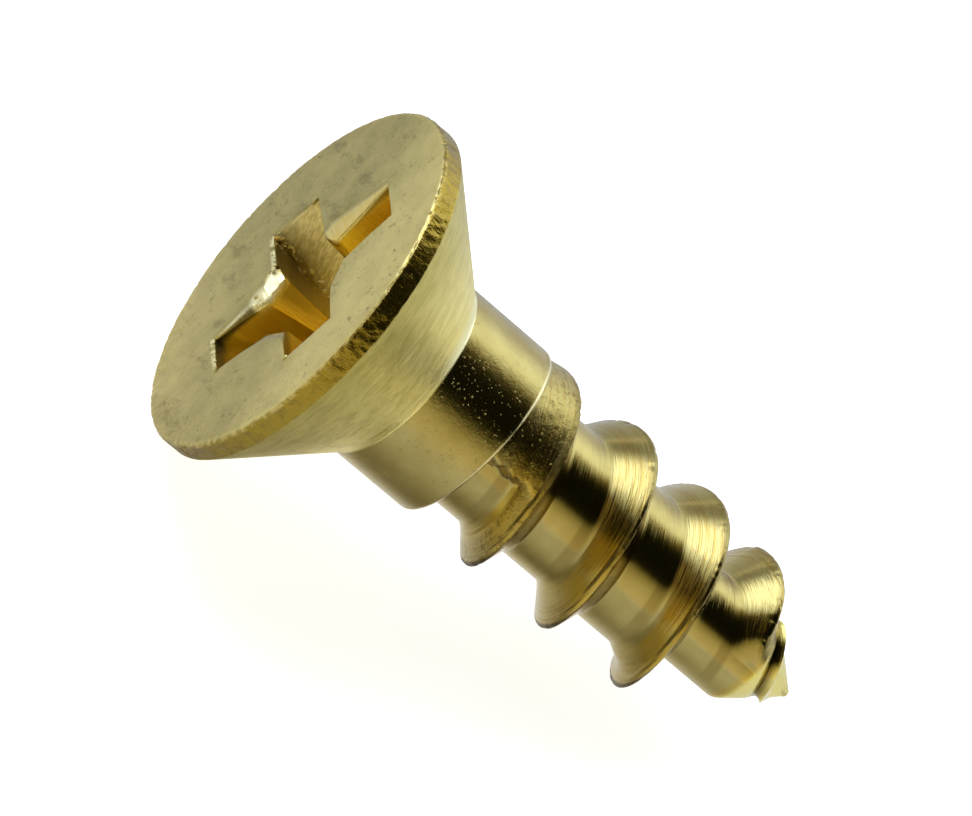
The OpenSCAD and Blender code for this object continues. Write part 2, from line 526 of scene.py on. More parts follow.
combine(screw, thread_part, "UNION")

# %% [markdown]
# ## The cross recess
#
# A punch leaves four straight-sided wings whose ends slope in, and a flat cuts
# the corner between each two wings. The punch itself is the easiest thing to
# model: one outline of sixteen corners, drawn down in steps, then taken away
# from the head. Near the face the outline is a little wider, which rounds the
# recess's edges, and widest where the punch leaned and rolled the edge over: that
# makes the broad soft rolls on one side of two of the wings.

# %% Sizes of the punch
WING_SPAN = 4.05
WING_W = 1.05
WING_SLOPE = 26.5
CORNER_SLOPE = 6
RECESS_DEPTH = 2.15
WALL_DEPTH = 1.9
RECESS_TURN = 20
RECESS_AT = (0.21, -0.07)
# The punch's top stands above the face, so that it cuts cleanly through.
PUNCH_TOP = 0.4
# An edge rolls over in steps, to this depth and a share of how far it is pushed.
ROLL_STEPS = 8
ROLL_DEPTH = 0.04
PUSH_PER_DEPTH = 3
# Distance of each corner flat from the recess's middle, after each wing.
CORNER_FLATS = (1.03, 1.03, 0.88, 1.03)
# How far each corner of a wing is pushed over at the face: root, middle and tip
# on one side, then tip, middle and root on the other.
PUSHED_OVER = (
    ((0.20, -0.17), (0, -0.08), (0.03, -0.02), (0.03, 0.02), (0, 0.06), (0.55, 0.08)),
    ((-0.06, -0.58), (0, -0.24), (0.03, -0.03), (0.06, 0.06), (0, 0.27), (0.15, 0.50)),
    ((0.02, -0.02), (0, -0.03), (0.26, -0.02), (-0.04, 0.02), (0, 0.08), (0.22, 0.14)),
    ((0.05, -0.58), (0, -0.38), (0.04, -0.12), (0.03, 0.08), (0, 0.08), (0.02, 0.16)),
)


def punch_outline(depth, rolled):
    """The corners at a depth. rolled is the share of the rolled-over edge."""
    half = WING_W / 2
    draft = depth * math.tan(math.radians(CORNER_SLOPE))
    roots = [(flat - draft) * math.sqrt(2) - half for flat in CORNER_FLATS]
    tip = WING_SPAN / 2 - depth * math.tan(math.radians(WING_SLOPE))
    places = []
    for wing, pushes in enumerate(PUSHED_OVER):
        turn = Matrix.Rotation(math.radians(RECESS_TURN + 90 * wing), 2)
        before, after = roots[wing - 1], roots[wing]
        plain = (
            (before, -half), ((before + tip) / 2, -half), (tip, -half),
            (tip, half), ((after + tip) / 2, half), (after, half),
        )
        for corner, push in zip(plain, pushes):
            roll = ROLL_DEPTH + Vector(push).length / PUSH_PER_DEPTH
            down = depth + (1 - rolled) * roll
            over = turn @ (Vector(corner) + Vector(push) * rolled) + Vector(RECESS_AT)
            places.append((*over, down))
    return places


print("punch outline:", len(punch_outline(0, 1)), "corners")


# %% Draw the punch
def draw_down(bm, ring, order, places):
    """Extrudes the ring of edges once and puts its corners at new places."""
    drawn = bmesh.ops.extrude_edge_only(bm, edges=ring)["geom"]
    for item in drawn:
        if isinstance(item, bmesh.types.BMVert):
            item.co = places[item[order]]
    return [item for item in drawn if isinstance(item, bmesh.types.BMEdge)]


punch = bmesh.new()
order = punch.verts.layers.int.new("order")
start = [punch.verts.new((x, y, -PUNCH_TOP)) for x, y, z in punch_outline(0, 1)]
for number, vert in enumerate(start):
    vert[order] = number
ring = [punch.edges.new(pair) for pair in zip(start, start[1:] + start[:1])]
bmesh.ops.contextual_create(punch, geom=ring)
for step in range(ROLL_STEPS + 1):
    angle = math.radians(90) * step / ROLL_STEPS
    rolled = 1 - math.sin(angle)
    places = [
        (x, y, deepest * (1 - math.cos(angle)))
        for (x, y, z), (_, _, deepest) in zip(punch_outline(0, rolled), punch_outline(0, 0))
    ]
    ring = draw_down(punch, ring, order, places)
places = [(x, y, WALL_DEPTH) for x, y, z in punch_outline(WALL_DEPTH, 0)]
ring = draw_down(punch, ring, order, places)
floor_face = bmesh.ops.contextual_create(punch, geom=ring)["faces"]
middle = bmesh.ops.poke(punch, faces=floor_face)["verts"]
middle[0].co = (*RECESS_AT, RECESS_DEPTH)
bmesh.ops.recalc_face_normals(punch, faces=punch.faces)
open_edges = [edge for edge in punch.edges if not edge.is_manifold]
print("punch:", len(punch.faces), "faces, open edges:", len(open_edges))
combine(screw, as_object(punch, "punch"), "DIFFERENCE")

# %% [markdown]
# ## Damage round the recess
#
# The punch didn't leave the recess clean. It sheared one corner into a slanted,
# finely grooved facet, and it tore small burrs up along the wings' ends. The
# facet has to catch the light by its own slope, so a block with one rippled face
# cuts it; the brass also paints it pale, a painted highlight. The burrs are small
# lumpy balls, joined to the edge where they stand.

# %% Shear one corner of the recess
# Where the facet lies, which way it faces, and the size of the block that cuts it.
SHEARED_AT = Vector((-0.68, 0.46, 0.16))
SHEARED_FACING = Vector((0.61, -0.34, -0.71))
SHEAR_SIZE = Vector((1.0, 0.8, 0.5))
SHEAR_CUTS = 16
SHEAR_ROUGH = 0.02

shear = bmesh.new()
bmesh.ops.create_cube(shear, size=1)
bmesh.ops.subdivide_edges(shear, edges=shear.edges, cuts=SHEAR_CUTS, use_grid_fill=True)
shear_turn = SHEARED_FACING.to_track_quat("Z", "Y").to_matrix()
for vert in shear.verts:
    place = (vert.co + Vector((0, 0, 0.5))) * SHEAR_SIZE
    place.z += SHEAR_ROUGH * ripple(place.x * 13, place.y * 5, 8) * (place.z < 0.01)
    vert.co = shear_turn @ place + SHEARED_AT
combine(screw, as_object(shear, "shear"), "DIFFERENCE")

# %% Burrs round the recess
# Each burr's place along and across the wings, and its size.
BURRS = (
    (-2.02, -0.44, 0.07), (0.50, 2.05, 0.05), (0.22, 2.06, 0.045), (-0.10, 2.07, 0.05),
    (-0.42, 2.06, 0.06), (2.03, 0.50, 0.055), (-1.72, 0.56, 0.05), (-1.50, 0.57, 0.035),
    (-1.02, 0.58, 0.045), (-0.62, 1.02, 0.04), (-2.0, 0.42, 0.04),
)
BURR_LUMPS = 0.5
BURR_FLAT = 0.6
BURR_SUNK = 0.005

burrs = bmesh.new()
for along, across, size in BURRS:
    ball = bmesh.ops.create_icosphere(burrs, subdivisions=2, radius=size)["verts"]
    turn = Matrix.Rotation(math.radians(RECESS_TURN), 2)
    middle = turn @ Vector((along, across)) + Vector(RECESS_AT)
    for vert in ball:
        lumpy = 1 + BURR_LUMPS * ripple(*(vert.co * 28 + Vector((along, across, 0)) * 9))
        flat = vert.co.z * lumpy * BURR_FLAT
        vert.co = Vector((vert.co.x * lumpy, vert.co.y * lumpy, flat))
        vert.co += Vector((*middle, BURR_SUNK))
print("burrs:", len(BURRS))
combine(screw, as_object(burrs, "burrs"), "UNION")

# %% [markdown]
# ## Laid down on the bench
#
# The finished screw goes to its resting place. Turning the object would do it,
# but a material on Object coordinates would then turn with it in one program
# and not in another. So the mesh itself is moved, and the object stays at the
# origin. Its faces are shaded smoothly, apart from edges sharper than a turned
# or rolled edge has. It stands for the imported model's screw.

# %% Finish the mesh
SMOOTH_BELOW = 32

shape = bmesh.new()
shape.from_mesh(screw.data)
bmesh.ops.transform(shape, matrix=lay_down, verts=shape.verts)
shape.to_mesh(screw.data)
shape.free()
screw.data.shade_smooth()
screw.data.set_sharp_from_angle(angle=math.radians(SMOOTH_BELOW))
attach(screw, "root")
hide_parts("screw")
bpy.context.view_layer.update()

# %% [markdown]
# ## Shader maths as Python
#
# A finish is mostly sums: how far from the axis, how near an edge, how deep a
# pit. Wiring them by hand needs dozens of Math nodes. A small class wraps one
# socket, so that a sum written in Python adds its own nodes, and one method
# adds every other kind of node.

# %% Wires
class Wire:
    """An output socket that can be used in sums like a number."""

    def __init__(self, tree, socket):
        self.tree = tree
        self.socket = socket

    def maths(self, operation, *others):
        """Adds a Math node, with this wire first."""
        values = dict(enumerate((self, *others)))
        return self.tree.node("ShaderNodeMath", {"operation": operation}, values)

    def __add__(self, other):
        return self.maths("ADD", other)

    def __mul__(self, other):
        return self.maths("MULTIPLY", other)

    def __sub__(self, other):
        return self.maths("SUBTRACT", other)

    def __rsub__(self, other):
        return self.maths("MULTIPLY", -1).maths("ADD", other)

    def __truediv__(self, other):
        return self.maths("DIVIDE", other)

    def __abs__(self):
        return self.maths("ABSOLUTE")

    __radd__ = __add__
    __rmul__ = __mul__

    def step(self, low, high):
        """A smooth step from 0 to 1 between two values, or down where low > high."""
        rises = low < high
        edges = {1: min(low, high), 2: max(low, high), 3: 1 - rises, 4: rises}
        settings = {"interpolation_type": "SMOOTHSTEP"}
        return self.tree.node("ShaderNodeMapRange", settings, {0: self, **edges})


print("wires add, subtract, multiply, divide and step")


# %% Node trees
class NodeTree:
    """A node tree that is filled one node at a time."""

    def __init__(self, owner):
        owner.use_nodes = True
        self.tree = owner.node_tree
        self.tree.nodes.clear()

    def node(self, kind, settings=None, sockets=None, output=0):
        """Adds a node: its settings first, then the values or links of its sockets."""
        made = self.tree.nodes.new(kind)
        for name, value in (settings or {}).items():
            if name == "stops":
                ramp = made.color_ramp.elements
                while len(ramp) < len(value):
                    ramp.new(0.5)
                for stop, (position, colour) in zip(ramp, value):
                    stop.position = position
                    stop.color = (*colour, 1)
            else:
                setattr(made, name, value)
        for name, value in (sockets or {}).items():
            if isinstance(value, Wire):
                self.tree.links.new(value.socket, made.inputs[name])
            else:
                made.inputs[name].default_value = value
        return Wire(self, made.outputs[output]) if made.outputs else made

    def split(self, vector):
        """The three parts of a vector, as wires."""
        parts = self.node("ShaderNodeSeparateXYZ", sockets={0: vector})
        outputs = parts.socket.node.outputs
        return [Wire(self, outputs[axis]) for axis in "XYZ"]

    def join(self, x, y, z):
        """A vector from three values or wires."""
        return self.node("ShaderNodeCombineXYZ", sockets={"X": x, "Y": y, "Z": z})

    def mix(self, factor, first, second):
        """A colour that goes from the first to the second."""
        sockets = {0: factor, 6: first, 7: second}
        return self.node("ShaderNodeMix", {"data_type": "RGBA"}, sockets, 2)

    def vector(self, operation, first, second, output=0):
        """A Vector Math node on two vectors; output 1 is its number."""
        settings = {"operation": operation}
        return self.node("ShaderNodeVectorMath", settings, {0: first, 1: second}, output)

    def outputs(self, kind, settings=None, sockets=None):
        """Adds a node and gives all its outputs by name."""
        made = self.node(kind, settings, sockets).socket.node
        return {socket.name: Wire(self, socket) for socket in made.outputs}


print("node trees hold nodes, splits, joins and mixes")


# %% [markdown]
# ## The light tent
#
# Polished brass shows its surroundings more than its own colour, so the tent
# round the bench matters as much as the metal. A few lamps in the dark would
# give a metal small hot spots. A tent gives broad, soft reflections: here a
# long bright wall behind the screw, a dim wall in front, a dark gap that slants
# along the roof, and a brown wall beyond the head. Past the head's side of the
# bright wall, a window gives the face and the flanks their brightest patches,
# and the wall dims towards it. The tent is a world whose brightness depends
# mostly on one angle, measured round the bench's X axis. Low down it is plain
# white, like the bench.

# %% World
TENT_BRIGHTNESS = 2.4
# Angle round X in degrees, from 0 overhead to 90 at +Y and -90 at -Y.
TENT = (
    (-90, (0.28, 0.29, 0.31)),
    (-68, (0.54, 0.58, 0.65)),
    (-50, (0.80, 0.88, 1.00)),
    (-31, (0.74, 0.80, 0.88)),
    (-22, (0.19, 0.165, 0.07)),
    (-13, (0.035, 0.03, 0.01)),
    (-3, (0.003, 0.003, 0.001)),
    (40, (0.003, 0.003, 0.001)),
    (51, (0.20, 0.18, 0.09)),
    (64, (0.34, 0.31, 0.21)),
    (90, (0.46, 0.42, 0.32)),
)
# How many degrees the gap slants from the bench's middle to the head's end.
GAP_SLANT = 30
END_WALL = (0.16, 0.12, 0.05, 1)
BLACK = (0, 0, 0, 1)
DIMMED = 0.4
WINDOW = (1.02, 1.15, 1.55, 1)
WINDOW_AT = Vector((0.64, -0.53, 0.56)).normalized()
# Where the window fades in, as the cosine of the angle away from its middle.
WINDOW_EDGE = (0.89, 0.99)

world = bpy.data.worlds.new("tent")
bpy.context.scene.world = world
tent = NodeTree(world)
towards = tent.outputs("ShaderNodeTexCoord")["Generated"]
along, across, high = tent.split(towards)
around = across.maths("ARCTAN2", high) * (180 / math.pi)
around = around - along * GAP_SLANT * around.step(20, -20)
stops = [((angle + 90) / 180, colour) for angle, colour in TENT]
wall = tent.node("ShaderNodeValToRGB", {"stops": stops}, {0: around / 180 + 0.5})
bright_side = around.step(20, -20)
wall = tent.mix(along.step(0, 0.35) * bright_side * DIMMED, wall, BLACK)
window = tent.vector("DOT_PRODUCT", towards, WINDOW_AT, 1)
wall = tent.mix(window.step(*WINDOW_EDGE), wall, WINDOW)
end_wall = along.step(0.45, 0.85)
lighter = {"data_type": "RGBA", "blend_type": "LIGHTEN"}
wall = tent.node("ShaderNodeMix", lighter, {0: end_wall, 6: wall, 7: END_WALL}, 2)
low_down = abs(high).step(0.10, 0.03)
white = (1 / TENT_BRIGHTNESS,) * 3 + (1,)
colour = tent.mix(low_down, wall, white)
sky = tent.node("ShaderNodeBackground", sockets={"Color": colour, "Strength": TENT_BRIGHTNESS})
tent.node("ShaderNodeOutputWorld", sockets={"Surface": sky})
print("tent with", len(TENT), "stops")

# %% [markdown]
# ## One soft lamp
#
# A large round lamp in the tent's window, high on the head's side, gives the
# flanks of the thread their brightest lines and the bench a faint shadow. A
# small lamp would do the same with hard edges, which brass shows at once.

# %% Lamp
LAMP_WIDE = 0.09
LAMP_AWAY = 0.15
LAMP_WATTS = 0.014

lamp_data = bpy.data.lights.new("soft_lamp", "AREA")
lamp_data.shape = "DISK"
lamp_data.size = LAMP_WIDE
lamp_data.energy = LAMP_WATTS
lamp_data.color = (1.0, 0.98, 0.94)
lamp = bpy.data.objects.new("soft_lamp", lamp_data)
lamp.location = WINDOW_AT * LAMP_AWAY
lamp.rotation_euler = lamp.location.to_track_quat("Z", "Y").to_euler()
bpy.context.scene.collection.objects.link(lamp)
print("lamp at:", lamp.location)

# %% [markdown]
# ## The bench
#
# A pale bench keeps the screw's soft shadow. More lamps would turn it white, and
# burn out the brass with it. So it gets a glow of its own instead: a full one for
# the lens, and a faint one for what metal and glass mirror. The mirrored glow is
# stronger in a strip under the screw, which keeps the low side of the shank and
# the thread from turning black where the bench lies in shadow.

# %% Bench
BENCH_R = 0.5
# How strong the glow is for the lens, and for metal on the bench's far side and
# in the strip under the screw.
GLOW_SEEN = 0.8
GLOW_FAR = 0.24
GLOW_UNDER = 0.52
# Where the strip and the far side fade in, in millimetres from the middle.
STRIP_BACK = (-3.5, -0.5)
STRIP_FRONT = (2.4, 0.8)
STRIP_AT_POINT = (-8, 0)
STRIP_AT_HEAD = (8, 5.5)
FAR_ACROSS = (-1, 6)
FAR_AT_POINT = (1, -4)

bench_mesh = bmesh.new()
bmesh.ops.create_circle(bench_mesh, cap_ends=True, segments=64, radius=BENCH_R)
bench = as_object(bench_mesh, "bench")


def fade(wire, edges):
    """A smooth step between two places in millimetres."""
    return wire.step(edges[0] * MM, edges[1] * MM)


paper = bpy.data.materials.new("paper")
tree = NodeTree(paper)
path = tree.outputs("ShaderNodeLightPath")
mirrored = path["Is Glossy Ray"].maths("MAXIMUM", path["Is Transmission Ray"])
matt = tree.node("ShaderNodeBsdfDiffuse", sockets={"Color": (0.93, 0.93, 0.93, 1)})
along, across, _ = tree.split(tree.outputs("ShaderNodeTexCoord")["Object"])
under = fade(across, STRIP_FRONT) * fade(across, STRIP_BACK)
under = under * fade(along, STRIP_AT_POINT) * fade(along, STRIP_AT_HEAD)
far_side = fade(across, FAR_ACROSS).maths("MAXIMUM", fade(along, FAR_AT_POINT))
low_glow = far_side * GLOW_FAR + under * GLOW_UNDER
strength = path["Is Camera Ray"] * GLOW_SEEN + mirrored * low_glow
glow = tree.node("ShaderNodeEmission", sockets={"Strength": strength})
both = tree.node("ShaderNodeAddShader", sockets={0: matt, 1: glow})
tree.node("ShaderNodeOutputMaterial", sockets={"Surface": both})
bench.data.materials.append(paper)
print("bench of paper,", 2 * BENCH_R, "m across")

# %% [markdown]
# ## Brass
#
# The screw is one metal with several finishes: a matt, pitted face, a rough
# rolled rim, a satin cone, a scuffed shank, a thread with cutting lines, and a
# recess whose walls are painted a bright orange, which is painted light. Pale
# painted highlights lie on one side of the face, along the rim's edge, on the
# cone towards its neck, on the shank's end, and on the recess's lips, rolled
# edges, seam and sheared facet. Painted shade lies on the thread's low side, in
# its roots, in the hollow before the point and in parts of the recess. Separate
# materials would show hard seams on one piece of metal, so this is one
# material. It turns each point into the screw's own radius, angle and height,
# in millimetres, and tells from them which tool shaped the metal there. Each
# zone fades into the next over a few hundredths of a millimetre.

# %% Where a point lies on the screw
brass = bpy.data.materials.new("brass")
tree = NodeTree(brass)
own_frame = {
    "Vector": tree.outputs("ShaderNodeTexCoord")["Object"],
    "Location": face_centre,
    "Rotation": screw_axes.to_euler(),
    "Scale": (MM, MM, MM),
}
place = tree.node("ShaderNodeMapping", {"vector_type": "TEXTURE"}, own_frame)
east, north, depth = tree.split(place)
radius = (east * east + north * north).maths("SQRT")
angle = north.maths("ARCTAN2", east)
print("every point knows its radius, angle and height")

# %% Which tool shaped it
# Most zones fade over this many millimetres on either side of their edges.
FADE = 0.02

recess = depth.step(0.004, 0.04) * (radius + depth * 0.5).step(2.47, 2.42)
outside = 1 - recess
face = depth.step(0.03, 0.01)
rim = depth.step(0.02, 0.06) * depth.step(RIM_LAND + FADE, RIM_LAND - FADE) * outside
cone = depth.step(RIM_LAND - FADE, RIM_LAND + FADE) * depth.step(CONE_END + 0.04, CONE_END)
cone = cone * outside
shank = depth.step(CONE_END, CONE_END + 0.04) * depth.step(SHANK_END + FADE, SHANK_END - FADE)
threaded = depth.step(SHANK_END - FADE, SHANK_END + FADE)
print("zones: recess, face, rim, cone, shank, threaded")


# %% Patterns that the tools leave
def grain(vector, scale, detail=3, roughness=0.5, w=None):
    """Noise between 0 and 1 that is even all over, or drawn out by its vector."""
    settings = {"noise_dimensions": "3D" if w is None else "4D"}
    sockets = {"Vector": vector, "Scale": scale, "Detail": detail, "Roughness": roughness}
    if w is not None:
        sockets["W"] = w
    return tree.node("ShaderNodeTexNoise", settings, sockets)


smudges = grain(tree.join(east * 1.3, north * 1.3, depth * 3.6), 1.5, 5, 0.7)
round_streaks = grain(tree.join(east * 0.8, north * 0.8, depth * 16), 1.6, 4, 0.6)
fine_round = grain(tree.join(east * 1.5, north * 1.5, depth * 40), 1.0, 2, 0.6)
clouds = grain(place, 1.4, 4, 0.6)
speckle = grain(place, 22, 3, 0.7)
pits = grain(place, 7, 5, 0.8)
specks = grain(place, 17, 2, 0.5).step(0.66, 0.76)
blotches = grain(place, 1.9, 3, 0.6).step(0.48, 0.60)
nuggets = grain(tree.join(east, north, depth * 0.7), 7, 3, 0.65)
print("even: clouds, speckle, pits, specks, blotches, nuggets; drawn out round: the rest")

# %% Along the thread
# turns grows by a full turn, in radians, from one crest to the next, so its sine
# and cosine tell the flanks, the crest and the valley apart. Noise on a circle of
# such turns runs along the helix as the cutter's lines do.
LINES = 8

turns = ((depth - FIRST_CREST) / PITCH - angle / math.tau) * math.tau
helix = tree.join(turns.maths("COSINE") * LINES, turns.maths("SINE") * LINES, east * 0.35)
cutting = grain(helix, 1.0, 3, 0.6, north * 0.35 + radius * 14)
facing = (angle - math.radians(WANDER_AT)).maths("COSINE").maths("MAXIMUM", 0)
crest_turns = turns + facing * facing * (WANDER / PITCH * math.tau)
crest_land = threaded * (crest_turns + 0.06).maths("COSINE").step(0.97, 0.988)
crest_land = crest_land * radius.step(1.5, 1.6) * (0.3 + angle.step(-0.7, 0.1) * 0.7)
flank = threaded * turns.maths("SINE").step(-0.05, -0.25) * radius.step(1.38, 1.46)
root = threaded * (turns + 0.37 * math.tau).maths("COSINE").step(0.86, 0.97)
uncut = threaded * turns.step(0.09, 0.03) * radius.step(1.5, 1.6)
# low_side: one side of the screw round its axis, where several colours below are painted shade.
low_side = angle.step(-0.35, 0.25) * angle.step(1.1, 0.5)
print("thread: cutting lines, crest's land, flank, root, uncut metal")

# %% At the shank's end, the rim's edge and the point
leaning = (angle - math.radians(SHOULDER_LEAN_AT)).maths("COSINE") * SHOULDER_LEAN
past_end = depth + leaning - SHANK_END - SHOULDER_PAST
shoulder = radius.step(1.70, 1.73) * radius.step(1.778, 1.768)
shoulder = shoulder * abs(past_end + 0.07).step(0.15, 0.1)
edge = radius.step(HEAD_R - 0.11, HEAD_R - 0.06) * depth.step(0.12, 0.05)
point = threaded * depth.step(POINT_START - 0.1, POINT_START + 0.05)
beyond = (turns / math.tau - TURNS_TO_POINT) * PITCH
hollow = point * abs(beyond - POINT_RIDGE_AT + 0.15).step(0.17, 0.03)
before_point = threaded * depth.step(POINT_START - 0.22, POINT_START - 0.06)
before_point = before_point * radius.step(1.0, 0.95)
print("shoulder, rim's edge, point, its hollow and the core before it")

# %% [markdown]
# ### Inside the recess
#
# The recess needs its own directions: along and across the wings. Its walls
# are painted a much brighter orange than the rest of the brass, painted light
# that brightens the recess, and light that bounces between them turns deeper
# orange. The upper wing's end was scraped, and stays dull, with painted shade in
# olive on its side. Where the punch rolled an edge over, the metal is dragged
# and painted pale, a painted highlight, with painted shade in dark olive under
# one edge. Pale painted highlights lie along the upper wing's side and the
# lower-left wing's end, as lips, and along the seam where the scraped wall meets
# the next. The deep end of one wing's tip is painted darker, painted shade.

# %% Along and across the wings
turned = {
    "Vector": place,
    "Location": (*RECESS_AT, 0),
    "Rotation": (0, 0, math.radians(RECESS_TURN)),
}
along_wings = tree.node("ShaderNodeMapping", {"vector_type": "TEXTURE"}, turned)
wing_p, wing_q, _ = tree.split(along_wings)
down_the_wall = grain(tree.join(wing_p * 18, wing_q * 18, depth * 1.2), 1.0, 3, 0.6)
strokes = tree.join(wing_q * 5 + depth * 4, depth * 22 - wing_q * 8, wing_p * 2)
scrape_marks = grain(strokes, 1.0, 4, 0.75)
drag = grain(tree.join(wing_p * 2, wing_q * 16, depth * 3), 1.0, 3, 0.65)
print("p runs along the first wing, q along the next")

# %% Walls, lips and rolled edges of the recess
scraped = recess * wing_p.step(-0.62, -0.80) * abs(wing_q).step(0.54, 0.50)
scraped_side = recess * wing_p.step(-0.55, -0.75) * wing_q.step(0.30, 0.50)
side_lip = wing_q.step(0.52, 0.54) * wing_q.step(0.66, 0.58) * wing_p.step(-0.65, -0.8)
side_lip = side_lip * wing_p.step(-2.12, -2.05)
tip_lip = wing_q.step(2.00, 2.02) * wing_q.step(2.14, 2.06) * abs(wing_p).step(0.54, 0.46)
lip = face * (side_lip + tip_lip)
deep_walls = recess * depth.step(0.10, 0.26)
rolled_over = depth.step(0.004, 0.03) * depth.step(0.32, 0.22) * wing_p.step(-0.53, -0.56)
rolled_over = rolled_over * abs(wing_q).step(0.54, 0.60) * recess
root_end = rolled_over * wing_q.step(0.3, 0.5) * wing_q.step(1.1, 0.8)
from_shear = tree.join(east - SHEARED_AT.x, north - SHEARED_AT.y, 0)
from_shear = tree.vector("LENGTH", from_shear, (0, 0, 0), 1)
sheared = recess * from_shear.step(0.46, 0.32) * depth.step(0.36, 0.24)
shade_under_edge = recess * wing_q.step(0.75, 0.95) * wing_p.step(-0.30, -0.45)
shade_under_edge = shade_under_edge * depth.step(0.04, 0.08) * (depth + wing_q * 0.05).step(0.30, 0.20)
right_roll = rolled_over * wing_q.step(-0.3, -0.5)
tip_end = recess * (wing_q + depth * 0.5).step(1.84, 1.96) * depth.step(0.05, 0.15)
under_end = depth * 0.5 - wing_p
seam = recess * under_end.step(1.84, 1.94) * abs(wing_q - 0.5).step(0.16, 0.06)
seam = seam * grain(place, 11, 2, 0.5).step(0.54, 0.62)
corner_flat = deep_walls * wing_p.step(-0.54, -0.58) * wing_q.step(0.54, 0.58)
print("recess: burnished, scraped, rolled over, sheared, lips, seam, corner flat")

# %% Colours
KHAKI = (0.86, 0.73, 0.28, 1)
KHAKI_DARK = (0.46, 0.385, 0.138, 1)
GOLD = (0.43, 0.35, 0.12, 1)
GOLD_DARK = (0.38, 0.30, 0.095, 1)
GOLD_BROWN = (0.54, 0.36, 0.04, 1)
SATIN = (1.0, 0.875, 0.335, 1)
SATIN_DARK = (0.47, 0.39, 0.08, 1)
NECK_HIGHLIGHT = (1.0, 0.95, 0.58, 1)
SATIN_OLIVE = (0.36, 0.29, 0.05, 1)
LINE_GOLD = (0.34, 0.22, 0.035, 1)
POINT_GOLD = (0.82, 0.71, 0.22, 1)
RIM_GOLD = (0.32, 0.225, 0.030, 1)
OLIVE = (0.22, 0.155, 0.03, 1)
RECESS_LIT = (1.0, 0.79, 0.17, 1)
RECESS_LIT_DARK = (0.92, 0.68, 0.10, 1)
RECESS_LIT_PALE = (0.88, 0.66, 0.20, 1)
SCRAPED = (0.97, 0.85, 0.40, 1)
SCRAPED_DARK = (0.66, 0.55, 0.22, 1)
CREAM = (0.85, 0.76, 0.42, 1)
BUTTER = (0.80, 0.64, 0.22, 1)
PALE_HIGHLIGHT = (1.0, 0.92, 0.52, 1)
DARK_OLIVE = (0.12, 0.09, 0.02, 1)
BROWN = (0.16, 0.10, 0.02, 1)
GRIME = (0.025, 0.016, 0.005, 1)
print("matt khaki", KHAKI[:3], "satin", SATIN[:3], "lit_orange", RECESS_LIT[:3])

# %% Colour of the thread and the point
colour = tree.mix(clouds.step(0.35, 0.65), GOLD_DARK, GOLD)
# Painted reflection and shade: the flanks on the low side are painted golden-brown, in patches.
painted_tint_patches = (clouds * 0.8 + cutting * 0.2).step(0.32, 0.6)
colour = tree.mix(flank * low_side * (0.35 + painted_tint_patches * 0.6), colour, GOLD_BROWN)
colour = tree.mix(before_point * 0.5, colour, GOLD_BROWN)
colour = tree.mix(point, colour, POINT_GOLD)
# Painted shade: the groove before the point's last ridge is painted brown.
colour = tree.mix(hollow * 0.85, colour, BROWN)
# Painted shade: the thread's root on the low side is painted brown.
colour = tree.mix(root * low_side * 0.45, colour, BROWN)
lined = threaded * cutting.step(0.46, 0.60) * (radius.step(1.3, 1.45) * 0.5 + 0.08)
lined = lined * (1 - low_side * 0.5)
colour = tree.mix(lined, colour, LINE_GOLD)
colour = tree.mix(uncut * pits.step(0.52, 0.62) * 0.7, colour, BROWN)
# Painted highlight: the shank's end is painted cream, strongest on one side.
colour = tree.mix(shoulder * (angle.step(0.9, 0) * 0.8 + 0.2), colour, CREAM)
print("thread and point coloured")

# %% Colour of the face and the rim
mottle = clouds * 0.6 + speckle * 0.4
# Painted highlight: the face is painted lighter towards one side, and its brown scuffs thin out
# there.
face_highlight_side = (east * 0.94 - north * 0.34).step(0.3, 2.6)
khaki = tree.mix(mottle.step(0.36, 0.64) * 0.35 + face_highlight_side * 0.65, KHAKI_DARK, KHAKI)
colour = tree.mix(face, colour, khaki)
scuffs = grain(tree.join(east * 0.8, north * 1.6, 3), 1.3, 6, 0.75)
scuffs = scuffs.step(0.53, 0.64)
colour = tree.mix(face * scuffs * (0.34 - face_highlight_side * 0.3), colour, BROWN)
dark_pits = face * pits.step(0.55, 0.63) * blotches
colour = tree.mix(dark_pits * 0.8, colour, BROWN)
# Painted highlights: pale lines along the recess's edges on the face.
lip_highlight = lip * grain(place, 5, 2, 0.5).step(0.40, 0.52)
colour = tree.mix(lip_highlight * 0.9, colour, PALE_HIGHLIGHT)
colour = tree.mix(rim, colour, tree.mix(nuggets.step(0.45, 0.68) * 0.7, RIM_GOLD, OLIVE))
# Painted glints: pale spots along the face's edge.
colour = tree.mix(edge * nuggets.step(0.42, 0.6) * 0.5, colour, BUTTER)
print("face and rim coloured")

# %% Colour of the cone
# Painted highlight: the cone is painted lighter towards its neck, from SATIN_DARK to SATIN.
near_neck = depth.step(RIM_LAND, CONE_END) * 0.65
streaked = round_streaks.step(0.35, 0.65) * 0.2 + clouds.step(0.35, 0.65) * 0.15
satin = tree.mix(near_neck + streaked, SATIN_DARK, SATIN)
# Painted highlight: a pale line at the neck, on one side.
neck_highlight = depth.step(CONE_END - 0.3, CONE_END - 0.08) * angle.step(0, -0.5)
satin = tree.mix(neck_highlight, satin, NECK_HIGHLIGHT)
# Smudges, real marks, plus painted shade: they are laid heavier on one side and thinner under the
# neck's painted highlight.
smudges_and_shade = smudges.step(0.44, 0.66) * (0.5 - neck_highlight * 0.5)
smudges_and_shade = smudges_and_shade * (angle.step(-0.8, 0.6) * 0.7 + 0.3)
satin = tree.mix(smudges_and_shade, satin, SATIN_OLIVE)
colour = tree.mix(cone, colour, satin)
print("cone coloured")
